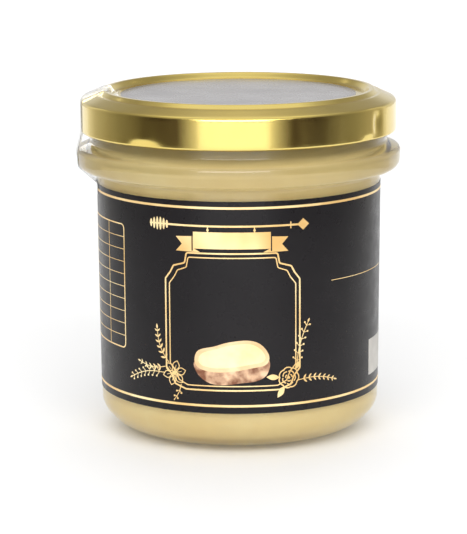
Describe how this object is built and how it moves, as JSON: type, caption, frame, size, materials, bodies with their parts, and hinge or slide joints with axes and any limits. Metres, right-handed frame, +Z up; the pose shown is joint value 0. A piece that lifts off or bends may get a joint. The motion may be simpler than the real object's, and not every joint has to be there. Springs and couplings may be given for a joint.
{
  "type": "honey jar",
  "caption": "Squat clear glass jar of pale creamed honey with a gold twist-off lid, a glossy black wrap label with gold line ornament and a clear seal strip over the lid's edge.",
  "frame": {"origin": "centre of the bearing ring that the jar stands on", "axes": "+Z up along the jar's axis, -Y towards the front of the label, +X to the right seen from the front"},
  "size_m": [0.0876, 0.0874, 0.0931],
  "materials": {
    "clear_glass": "clear flint glass, polished",
    "creamed_honey": "opaque pale cream-gold creamed honey, satin",
    "gold_lacquer": "glossy gold lacquer on tinplate",
    "black_label": "glossy black film with gold print",
    "lid_sticker": "glossy dark film",
    "clear_film": "clear glossy film"
  },
  "bodies": {
    "root": {"glass_jar": "clear_glass", "honey": "creamed_honey", "lid": "gold_lacquer", "label": "black_label", "lid_sticker": "lid_sticker", "seal_strip": "clear_film"}
  },
  "joints": []
}
